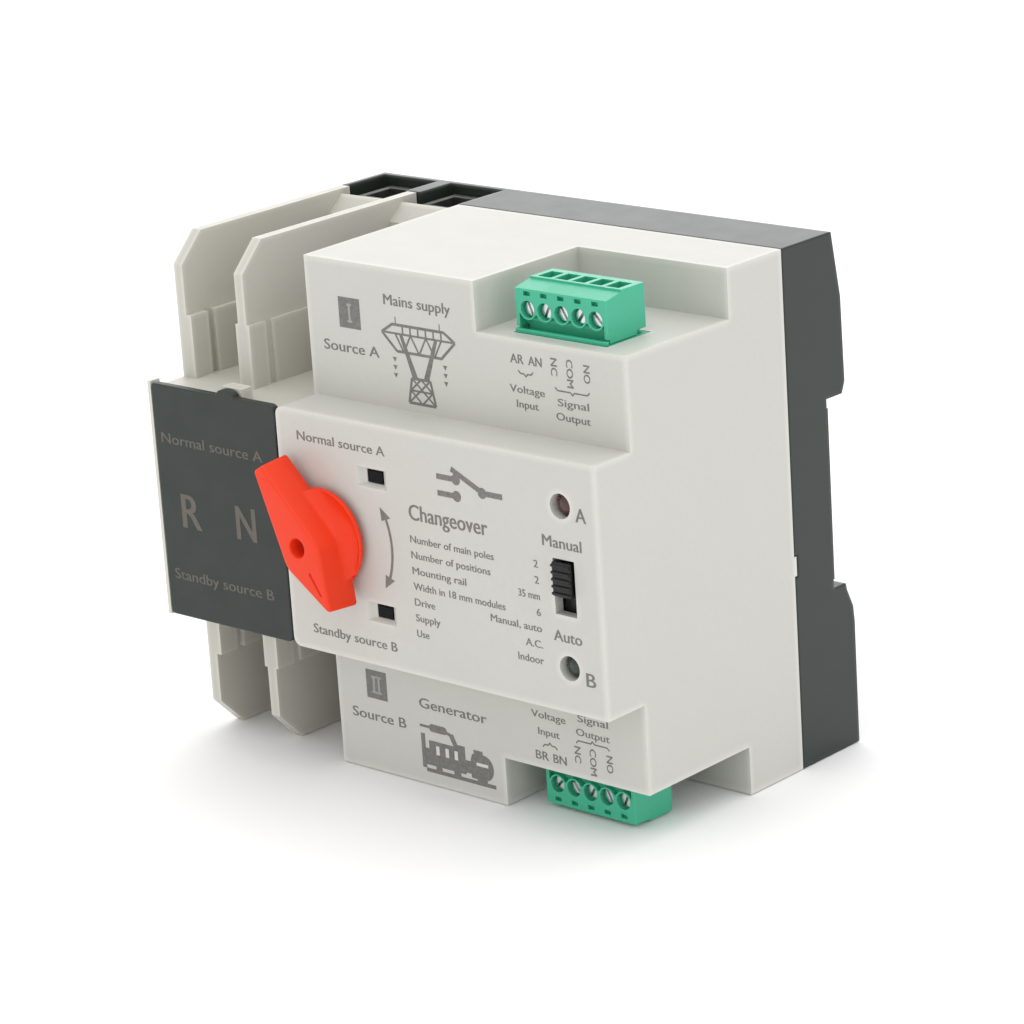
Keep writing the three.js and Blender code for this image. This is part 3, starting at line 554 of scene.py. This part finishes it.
def add_knob():
    """The turning knob: a grip whose foot flares into a dished disc, with its hole, mark and socket."""
    front = [(-GRIP_EDGE * (1 - math.sin(t)), KNOB_FRONT + GRIP_EDGE * (1 - math.cos(t)))
             for t in (math.pi / 2 * i / EDGE_STEPS for i in range(EDGE_STEPS + 1))]
    sides = [(0.25, -4.4), (0.42, GRIP_BACK - 0.3), (0.25, GRIP_BACK)]
    knob = add_ringed("knob_moulding", grip_rings(front + sides))
    foot = add_ringed("foot", grip_rings(FOOT_FLARE))
    inside_rim = about_knob("inside_rim", [(ON_AXIS, -6), (FOOT_R, -6), (FOOT_R, -1.2), (ON_AXIS, -1.2)])
    combine(foot, [inside_rim], "INTERSECT")
    dish = [(ON_AXIS, -1.3), (6.9, -1.3), (8.1, -1.42), (8.8, -1.75)]
    rim = arc((RIM_R, -1.7), RIM_ROUND, 250, 360, 5)
    behind = [(DISC_R, -1.2), (RIM_R, DISC_BACK), (HUB_R, DISC_BACK), (HUB_R, HUB_BACK), (ON_AXIS, HUB_BACK)]
    disc = about_knob("disc", dish + rim + behind)
    combine(knob, [foot, disc], "UNION")
    before = KNOB_FRONT - 1
    hole = about_knob("hole", [(ON_AXIS, before), (2.4, before), (HOLE_R, KNOB_FRONT + 0.25), (1.72, SEAT),
                               (SHANK_R, SEAT), (SHANK_R, 0), (ON_AXIS, 0)], 40)
    mark = add_ringed("mark", [mark_ring(before), mark_ring(KNOB_FRONT + 0.3)])
    socket = add_ringed("socket", [socket_ring(DISC_BACK), socket_ring(HUB_BACK + 1)])
    combine(knob, [hole, mark, socket], "DIFFERENCE")
    smooth(knob, 38)
    ride_as(knob, "knob_unit", "knob_plastic", "knob")


# ------------------------------------------------------------------ printing

INK_MM = 0.03  # how far a print stands off its face
BOLD = 0.055  # widening of a letter's strokes, as a share of its capitals' height
CAP_SHARE = 0.729  # height of a capital letter in the built-in font, as a share of its size


def on_face(thing, y, material):
    """Stands a print drawn in the xy plane, in millimetres, on a printed face of the case."""
    thing.data.materials.clear()
    thing.data.materials.append(material)
    thing.data.transform(Matrix.Scale(MM, 4))
    thing.data.transform(Matrix.Rotation(math.pi / 2, 4, "X"))
    thing.data.transform(Matrix.Translation(at(0, y - INK_MM, 0)))
    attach(thing, "case")


def thicken(thing):
    """Gives a flat figure in the xy plane the thickness of a print."""
    modifier = thing.modifiers.new("ink", "SOLIDIFY")
    modifier.thickness = INK_MM * 0.9  # so that its back stands clear of the face
    modifier.offset = -1
    return bake_modifiers(thing)


def widened(thing, by):
    """The union of a figure with itself moved across, so that its strokes are that much wider."""
    copy = add_object("copy", thing.data.copy())
    clear = 0.1 * INK_MM  # keeps the two figures' faces from lying in one plane
    copy.data.transform(Matrix.Translation((by, clear, clear)))
    return combine(thing, [copy], "UNION", overlapping=True)


def words(name, text, y, cap, left, right, base, material=None, turn=0):
    """A print whose letters fill left to right, with capitals that stand on base and are cap high.

    turn swings the whole print about its lower left corner, anticlockwise and in degrees.
    """
    curve = bpy.data.curves.new(name, "FONT")
    curve.body = text
    curve.size = 1
    curve.resolution_u = 3
    letters = bpy.data.objects.new(name, curve)
    bpy.context.scene.collection.objects.link(letters)
    graph = bpy.context.evaluated_depsgraph_get()
    mesh = bpy.data.meshes.new_from_object(letters.evaluated_get(graph))
    bpy.data.objects.remove(letters)
    low = min(v.co.x for v in mesh.vertices)
    high = max(v.co.x for v in mesh.vertices)
    wider = BOLD * cap
    width, height = right - left - wider, cap / CAP_SHARE
    mesh.transform(Matrix.Translation((-low, 0, 0)))
    mesh.transform(Matrix.Diagonal((width / (high - low), height, 1, 1)))
    word = widened(thicken(add_object(name, mesh)), wider)
    word.data.transform(Matrix.Rotation(math.radians(turn), 4, "Z"))
    word.data.transform(Matrix.Translation((left, base, 0)))
    on_face(word, y, material or INK_GREY)


def flat_mesh(name, outlines):
    """One face for each outline, all facing up."""
    form = bmesh.new()
    for outline in outlines:
        face = form.faces.new([form.verts.new((x, z, 0)) for x, z in outline])
        face.normal_update()
        if face.normal.z < 0:
            face.normal_flip()
    mesh = bpy.data.meshes.new(name)
    form.to_mesh(mesh)
    form.free()
    return mesh


def drawing(name, outlines, y, material=None):
    """A printed figure from outlines of (x, z) points, which may overlap."""
    figure = thicken(add_object(name, flat_mesh(name, outlines[:1])))
    if len(outlines) > 1:
        rest = thicken(add_object("rest", flat_mesh("rest", outlines[1:])))
        combine(figure, [rest], "UNION", overlapping=True)
    on_face(figure, y, material or INK_GREY)


def stroke(start, end, width, end_width=None):
    """The outline of a straight stroke between two points, which may widen or narrow."""
    (x0, z0), (x1, z1) = start, end
    length = math.hypot(x1 - x0, z1 - z0)
    across = (-(z1 - z0) / length / 2, (x1 - x0) / length / 2)
    w0, w1 = width, end_width or width
    return [(x0 - across[0] * w0, z0 - across[1] * w0), (x1 - across[0] * w1, z1 - across[1] * w1),
            (x1 + across[0] * w1, z1 + across[1] * w1), (x0 + across[0] * w0, z0 + across[1] * w0)]


def panel(x0, x1, z0, z1):
    """The outline of an upright rectangle."""
    return [(x0, z0), (x1, z0), (x1, z1), (x0, z1)]


def disc_outline(x, z, radius):
    """The outline of a round dot."""
    return arc((x, z), radius, 0, 340, 17)


def path(points, width):
    """Strokes from each point to the next."""
    return [stroke(a, b, width) for a, b in zip(points, points[1:])]


def turn_arrow():
    """The two-headed arc round the knob."""
    radius = 15.3
    half_line = 0.28
    half_head = 1.15
    reach = 30  # degrees to each tip, and the length of a head
    head = 9
    middle = (KNOB_AXIS_X, 0)
    inner = arc(middle, radius - half_line, -reach + head, reach - head, 16)
    outer = arc(middle, radius + half_line, -reach + head, reach - head, 16)
    figures = [outer + inner[::-1]]
    for side in (1, -1):
        tip = arc(middle, radius - 0.3, side * reach, side * reach, 1)[0]
        base_angle = side * (reach - head - 0.5)
        wide = arc(middle, radius + half_head, base_angle, base_angle, 1)[0]
        narrow = arc(middle, radius - half_head, base_angle, base_angle, 1)[0]
        figures.append([tip, wide, narrow])
    drawing("print_turn_arrow", figures, NOSE_FACE)


def changeover_symbol():
    """The circuit symbol of a changeover contact, in bold strokes."""
    bold = 1.0
    dot = 1.0
    left, contact, pivot, right = 71.9, 76.4, 82.4, 87
    upper, between, lower = 15.4, 13.9, 12.4
    figures = [disc_outline(contact, upper, dot), disc_outline(contact, lower, dot)]
    figures.append(disc_outline(pivot, between, dot))
    figures += [stroke((left, z), (76, z), bold) for z in (upper, lower)]
    figures.append(stroke((82.8, between), (right, between), bold))
    figures.append(stroke((82.2, 14.1), (75.4, 17.2), bold))
    drawing("print_symbol", figures, NOSE_FACE)


def roman_box(name, x0, x1, z0, z1, strokes):
    """A filled box with the roman numeral of its source, in paler ink."""
    pitch, half_bar, half_serif, overhang = 1.25, 0.26, 0.2, 0.6
    drawing(name + "_box", [panel(x0, x1, z0, z1)], BLOCK_FACE)
    middle = (x0 + x1) / 2
    half = (z1 - z0) * 0.27
    centre = (z0 + z1) / 2
    spread = [(i - (strokes - 1) / 2) * pitch for i in range(strokes)]
    bars = [panel(middle + d - half_bar, middle + d + half_bar, centre - half, centre + half)
            for d in spread]
    wide = spread[-1] + overhang
    for end in (centre + half, centre - half):
        bars.append(panel(middle - wide, middle + wide, end - half_serif, end + half_serif))
    drawing(name + "_numeral", bars, BLOCK_FACE - INK_MM, INK_PALE)


def brace(name, x0, x1, z, points_down):
    """A flat curly brace across a group of terminals."""
    width, bend, nib = 0.26, 0.5, 0.4
    middle = (x0 + x1) / 2
    rise = -bend if points_down else bend
    line = [(x0, z - rise), (x0 + bend, z), (middle - nib, z), (middle, z + rise), (middle + nib, z),
            (x1 - bend, z), (x1, z - rise)]
    drawing(name, path(line, width), BLOCK_FACE)


def pylon():
    """A power line's mast: a trussed crossarm on two legs and a lattice foot."""
    thin, thick = 0.36, 0.5
    middle = 60.7
    top, tip_z, bottom = 37.9, 36.3, 33.1  # heights of the crossarm
    arm, chord = 8.7, 6.1  # half its widths
    waist_z, brace_z, foot_z = 28.6, 26.4, 24.1  # the same for the foot
    waist, brace_half, foot = 2.2, 2.6, 3.2
    x = [middle - arm, middle - chord, middle + chord, middle + arm]
    figures = path([(x[0], tip_z), (x[1], top), (x[2], top), (x[3], tip_z)], thick)
    figures += path([(x[0], tip_z), (x[1] + 0.8, bottom), (x[2] - 0.8, bottom), (x[3], tip_z)], thick)
    figures += [stroke((x[0], tip_z), (x[3], tip_z), thin)]
    bays, inset = 6, 0.6
    for i in range(bays):
        a = x[1] + inset + (x[2] - x[1] - 2 * inset) * i / bays
        b = x[1] + inset + (x[2] - x[1] - 2 * inset) * (i + 1) / bays
        low, high = (bottom, tip_z) if i % 2 else (tip_z, bottom)
        figures.append(stroke((a, low), (b, high), thin))
        figures.append(stroke((b, tip_z), (b, top), thin))
    drops, drop_x, drop_z, drop_pitch, half_drop = 3, 6, 31.6, 1.45, 0.5
    for side in (-1, 1):
        figures.append(stroke((middle + side * 4.2, tip_z), (middle + side * 1.3, waist_z), 0.7, 1.2))
        figures.append(stroke((middle + side * waist, waist_z), (middle + side * foot, foot_z), thick))
        figures.append(stroke((middle - side * waist, waist_z), (middle + side * foot, foot_z), thin))
        peak = middle + side * chord * 0.86
        figures.append(stroke((peak, top), (peak, 39.3), 0.22))
        for i in range(drops):
            x_mid, z = middle + side * drop_x, drop_z - drop_pitch * i
            figures.append([(x_mid - half_drop, z + 0.35), (x_mid + half_drop, z + 0.35),
                            (x_mid, z - half_drop)])
    for half, z, width in ((waist, waist_z, thick), (foot, foot_z, thick), (brace_half, brace_z, thin)):
        figures.append(stroke((middle - half, z), (middle + half, z), width))
    for side in (-1, 1):
        for z in (waist_z, foot_z):
            figures.append(stroke((middle, z), (middle + side * brace_half, brace_z), thin))
    drawing("print_pylon", figures, BLOCK_FACE)


def generator_set():
    """An engine and its generator on a skid, with windows the colour of the plastic below."""
    ground, deck, bed, window = -45.6, -44.85, -44.2, -41.9
    radiator = panel(54.2, 55.2, -44.9, -38.3)
    skid = [radiator, panel(55.1, 72, ground, deck)]
    skid += [panel(x0, x1, -45, -44) for x0, x1 in ((57.5, 59), (61.9, 63.6), (67.6, 70))]
    engine = [panel(56.1, 64.9, bed, -39.4), panel(55, 57, bed, -41), panel(62.9, 64.9, -40, -38.9)]
    muffler_z, muffler_r = -36.9, 0.75
    muffler = arc((57.1, muffler_z), muffler_r, 90, 270, 6) + arc((60, muffler_z), muffler_r, -90, 90, 6)
    pipes = [panel(54.1, 57, -37.1, -36.6), stroke((60, -37), (61.9, -37.5), 0.6)]
    pipes.append(stroke((61.7, -37.3), (62.9, -39.7), 1.1))
    alternator = arc((69.2, -42.1), 2.5, -90, 90, 10) + [(66.6, -39.9), (66.2, -41), (66.2, -44.5)]
    coupling = panel(64.8, 66.4, -43.8, -41.4)
    terminal_box = panel(67, 69.2, -40.3, -39)
    body = skid + engine + pipes + [muffler, alternator, coupling, terminal_box]
    drawing("print_generator", body, BLOCK_FACE)
    bare = [panel(x, x + 0.8, window, -40.2) for x in (57.8, 60.1, 62.3)]
    bare.append(panel(67.6, 70.4, window, -41.3))
    drawing("print_generator_windows", bare, BLOCK_FACE - INK_MM, MATERIALS["ivory_plastic"])


# Heights of the capitals in each kind of print.
TABLE_CAP = 1.4
TURNED_CAP = 1.5
TERMINAL_CAP = 1.7
POSITION_CAP = 1.8
SOURCE_CAP = 2.0
SWITCH_CAP = 2.1
LAMP_CAP = 2.6
TITLE_CAP = 3.0

TABLE_ROWS = (("Number of main poles", "2"), ("Number of positions", "2"), ("Mounting rail", "35 mm"),
              ("Width in 18 mm modules", "6"), ("Drive", "Manual, auto"), ("Supply", "A.C."),
              ("Use", "Indoor"))
TABLE_LEFT = 64.5
TABLE_RIGHT = 94.2
TABLE_TOP = 2.2
TABLE_PITCH = 2.9
TABLE_LETTER = 0.98
TURNED_DROP = 69.9  # from a turned word at the upper terminals down to its twin at the lower ones


def print_nose():
    """All the print on the front of the nose."""
    face = NOSE_FACE
    words("print_position_a", "Normal source A", face, POSITION_CAP, left=38.3, right=59.8, base=17.0)
    words("print_position_b", "Standby source B", face, POSITION_CAP, left=38.6, right=59.4, base=-19.1)
    words("print_lamp_a", "A", face, LAMP_CAP, left=103.3, right=105.7, base=12.2)
    words("print_lamp_b", "B", face, LAMP_CAP, left=103.6, right=105.8, base=-16.9)
    words("print_manual", "Manual", face, SWITCH_CAP, left=95.5, right=104.3, base=6.9)
    words("print_auto", "Auto", face, SWITCH_CAP, left=96.8, right=103.2, base=-9.8)
    words("print_title", "Changeover", face, TITLE_CAP, left=64.6, right=83.1, base=6.4)
    turn_arrow()
    changeover_symbol()
    for i, (what, value) in enumerate(TABLE_ROWS):
        base = TABLE_TOP - TABLE_PITCH * i
        words(f"print_row_{i + 1}", what, face, TABLE_CAP,
              left=TABLE_LEFT, right=TABLE_LEFT + TABLE_LETTER * len(what), base=base)
        words(f"print_value_{i + 1}", value, face, TABLE_CAP,
              left=TABLE_RIGHT - TABLE_LETTER * len(value), right=TABLE_RIGHT, base=base + 0.4)


def print_plate():
    """The print on the dark label plate."""
    face, dim = NOSE_FACE, INK_PLATE
    words("print_pole_r", "R", face, 6.9, left=6.3, right=11.5, base=-4.6, material=dim)
    words("print_pole_n", "N", face, 6.8, left=20.6, right=25.8, base=-4.5, material=dim)
    words("print_plate_a", "Normal source A", face, SWITCH_CAP, left=2.6, right=29.0, base=11.2,
          material=dim)
    words("print_plate_b", "Standby source B", face, SWITCH_CAP, left=2.9, right=29.0, base=-15.0,
          material=dim)


def print_block():
    """The print above and below the nose: the two sources and their control terminals."""
    face = BLOCK_FACE
    roman_box("print_one", 41.7, 46.9, 35.8, 41.4, 1)
    roman_box("print_two", 41.3, 46.4, -34.0, -28.5, 2)
    words("print_mains", "Mains supply", face, SOURCE_CAP, left=52.9, right=68.8, base=41.3)
    words("print_source_a", "Source A", face, SOURCE_CAP, left=37.4, right=51.0, base=31.3)
    words("print_generator_word", "Generator", face, SOURCE_CAP, left=54.3, right=70.8, base=-33.4)
    words("print_source_b", "Source B", face, SOURCE_CAP, left=37.2, right=50.7, base=-38.3)
    pylon()
    generator_set()
    contacts = (("NC", 91.3, 36.7, 3.1), ("COM", 94.8, 36.9, 5.0), ("NO", 98.6, 36.4, 3.2))
    for source, drop, base in (("a", 0, 34.7), ("b", TURNED_DROP, -37.4)):
        for pole, x in (("R", 82.1), ("N", 86.2)):
            words(f"print_{source}{pole.lower()}", source.upper() + pole, face, TERMINAL_CAP,
                  left=x, right=x + 3.1, base=base)
        for contact, x, top, length in contacts:
            words(f"print_{contact.lower()}_{source}", contact, face, TURNED_CAP,
                  left=x, right=x + length, base=top - drop, turn=-90)
    for name, base_a, base_b, left, right in (
            ("Voltage", 29.5, -29.6, 81.6, 89.6), ("Input", 26.9, -32.7, 83.0, 88.0),
            ("Signal", 28.4, -28.5, 92.4, 99.4), ("Output", 25.9, -31.1, 91.9, 99.6)):
        words(f"print_{name.lower()}_a", name, face, TABLE_CAP, left, right, base_a)
        words(f"print_{name.lower()}_b", name, face, TABLE_CAP, left, right, base_b)
    brace("print_brace_in_a", 83.8, 87.2, 33.0, True)
    brace("print_brace_out_a", 92.0, 99.7, 31.1, True)
    brace("print_brace_in_b", 83.9, 87.3, -34.4, False)
    brace("print_brace_out_b", 91.8, 99.4, -32.1, False)


# ------------------------------------------------------------------ stage, camera and light

SENSOR_MM = 36
LENS_MM = 135.4
AZIMUTH = 42.96  # degrees, as are the next two
ELEVATION = 17.30
ROLL = -3.78
DISTANCE = 712.1  # in millimetres, from AIM
AIM = (49.1, 42.9, -6.6)
CLIP_M = (0.01, 20)


def add_camera():
    """The photograph's camera, as it was solved from the object's straight edges."""
    azimuth, elevation, roll = (math.radians(a) for a in (AZIMUTH, ELEVATION, ROLL))
    back = Vector((math.sin(azimuth) * math.cos(elevation),
                   -math.cos(azimuth) * math.cos(elevation), math.sin(elevation)))
    level = Vector((math.cos(azimuth), math.sin(azimuth), 0))
    upright = back.cross(level)
    right = math.cos(roll) * level + math.sin(roll) * upright
    up = back.cross(right)
    data = bpy.data.cameras.new("camera")
    data.lens = LENS_MM
    data.sensor_width = SENSOR_MM
    data.clip_start, data.clip_end = CLIP_M
    camera = bpy.data.objects.new("camera", data)
    bpy.context.scene.collection.objects.link(camera)
    turn = Matrix((right, up, back)).transposed().to_4x4()
    camera.matrix_world = Matrix.Translation(at(*AIM) + back * DISTANCE * MM) @ turn
    bpy.context.scene.camera = camera


SKY = 0.98  # strengths of the white surround and the two soft lights
OVERHEAD = 0.88
BEHIND = 0.84
FLOOR_HALF_M = 6
FLOOR_DROP_M = 0.0002  # keeps the floor just clear of the part
FLOOR_MARK_MM = 900


def add_sun(name, towards, power, spread):
    """A distant soft light in the given direction, spread over so many degrees."""
    data = bpy.data.lights.new(name, "SUN")
    data.energy = power
    data.angle = math.radians(spread)
    light = bpy.data.objects.new(name, data)
    light.rotation_euler = Vector(towards).to_track_quat("Z", "Y").to_euler()
    bpy.context.scene.collection.objects.link(light)


def add_stage():
    """An overexposed white studio: a floor, the surround and two soft lights."""
    n = Nodes("floor")
    n.set(Roughness=0.9)
    material = n.finish(n.mix(n.noise(FLOOR_MARK_MM, 1), linear(FLOOR), linear(FLOOR_PALE)))
    mesh = bpy.data.meshes.new("floor")
    form = bmesh.new()
    bmesh.ops.create_grid(form, x_segments=1, y_segments=1, size=FLOOR_HALF_M)
    form.to_mesh(mesh)
    form.free()
    floor = add_object("floor", mesh, material)
    floor.location.z = -FLOOR_DROP_M

    world = bpy.data.worlds.new("studio")
    bpy.context.scene.world = world
    world.use_nodes = True
    surround = world.node_tree.nodes["Background"]
    surround.inputs["Color"].default_value = (1, 1, 1, 1)
    surround.inputs["Strength"].default_value = SKY
    add_sun("overhead", towards=(0.1, 0.05, 1), power=OVERHEAD, spread=70)
    add_sun("behind", towards=(-0.65, 0.7, 0.36), power=BEHIND, spread=60)
    bpy.context.scene.view_settings.view_transform = "Standard"


# ------------------------------------------------------------------ the scene

dress_cad_nodes()
add_knob()
print_nose()
print_plate()
print_block()
add_camera()
add_stage()
